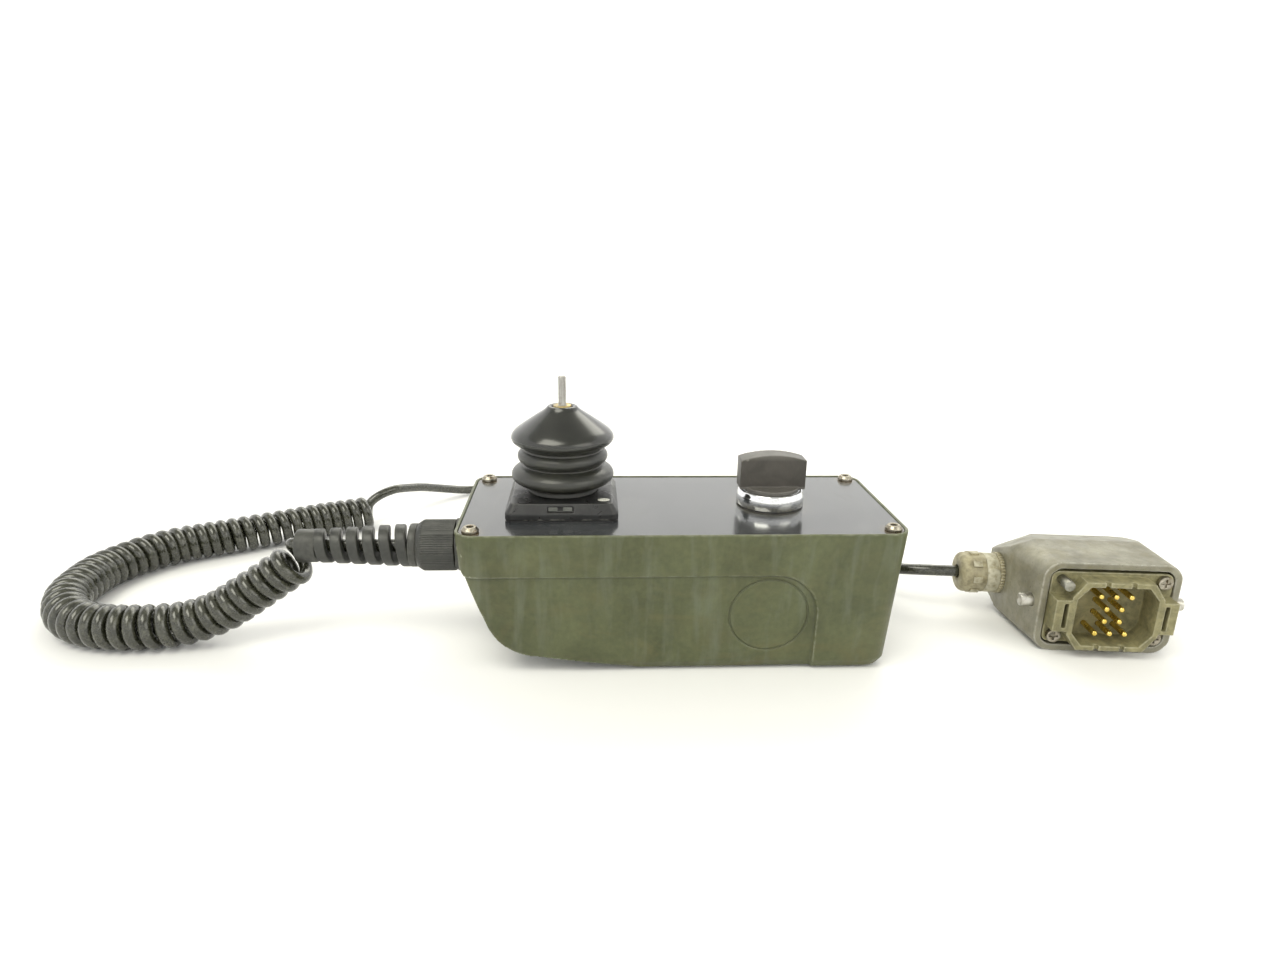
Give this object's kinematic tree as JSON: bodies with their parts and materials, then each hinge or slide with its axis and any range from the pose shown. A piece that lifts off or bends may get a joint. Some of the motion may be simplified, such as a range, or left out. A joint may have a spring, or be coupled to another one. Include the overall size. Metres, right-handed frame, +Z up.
{
  "type": "pendant control station",
  "caption": "Hand-held pendant control station with a joystick, a rotary selector, a curly cord and a rectangular multi-pin connector.",
  "frame": {"origin": "middle of the housing's base, on the surface that it rests on", "axes": "+Z up, +X along the housing from the joystick end to the selector end, the front faces -Y"},
  "size_m": [0.5208, 0.2499, 0.1198],
  "materials": {
    "housing": "olive grey-green moulded plastic, satin, worn at the edges",
    "panel": "black gloss panel with fine scratches and haze",
    "rubber_black": "black rubber",
    "screw_steel": "plated steel with a little rust",
    "brass": "brass",
    "black_plastic": "satin black moulded plastic",
    "steel": "bare steel, slightly tarnished",
    "boot_rubber": "dark grey rubber with dust in the folds",
    "chrome": "chrome-plated ring",
    "handle_plastic": "dark brown-grey moulded plastic",
    "block_plastic": "moulded switch block plastic",
    "gland_plastic": "dark grey nylon",
    "cord": "dark grey-green glossy cord sheath",
    "hood_metal": "grey die-cast metal, worn and stained",
    "peg_metal": "plated steel",
    "beige_plastic": "aged beige nylon",
    "insert_plastic": "khaki moulded plastic, dusty",
    "contact_gold": "gold-plated contacts"
  },
  "bodies": {
    "root": {"housing_shell": "housing", "panel_gasket": "rubber_black", "top_panel": "panel", "panel_screws": "screw_steel", "screw_inserts": "brass", "joystick_flange": "black_plastic", "flange_gasket": "rubber_black", "flange_screws": "screw_steel", "joystick_frame": "black_plastic", "microswitches": "black_plastic", "boot": "boot_rubber", "selector_bezel": "chrome", "bezel_gasket": "rubber_black", "selector_barrel": "black_plastic", "selector_nut": "steel", "switch_carrier": "black_plastic", "contact_blocks": "block_plastic", "terminal_block": "block_plastic", "gland_body": "gland_plastic", "gland_locknut": "steel", "gland_bush": "rubber_black", "gland_nut": "gland_plastic", "spiral_relief": "gland_plastic", "cord_lead": "cord", "cord_coil": "cord", "cord_tail": "cord", "connector_hood": "hood_metal", "locking_pegs": "peg_metal", "hood_gland_ring": "beige_plastic", "hood_gland_body": "beige_plastic", "hood_gland_nut": "beige_plastic", "hood_gland_bush": "rubber_black", "insert_body": "insert_plastic", "contact_pins": "contact_gold", "insert_screws": "peg_metal", "coding_pin": "peg_metal"},
    "yoke": {"gimbal_yoke": "steel", "yoke_pins": "steel"},
    "lever": {"lever_shaft": "steel", "lever_pin": "steel", "lever_rod": "steel", "return_spring": "steel", "boot_ring": "brass"},
    "selector": {"selector_handle": "handle_plastic", "selector_shaft": "brass"}
  },
  "joints": [
    {"name": "stick_side", "type": "hinge", "parent": "root", "child": "yoke", "pos_m": [-0.05, 0, 0.057], "axis": [0, 1, 0], "range_deg": [-16, 16], "stiffness_Nm_per_rad": 0.25, "deforming": ["boot"]},
    {"name": "stick_fore_aft", "type": "hinge", "parent": "yoke", "child": "lever", "pos_m": [-0.05, 0, 0.057], "axis": [1, 0, 0], "range_deg": [-16, 16], "stiffness_Nm_per_rad": 0.25, "deforming": ["boot"]},
    {"name": "selector_turn", "type": "hinge", "parent": "root", "child": "selector", "pos_m": [0.0415, 0, 0.07], "axis": [0, 0, 1], "range_deg": [-45, 45]}
  ]
}
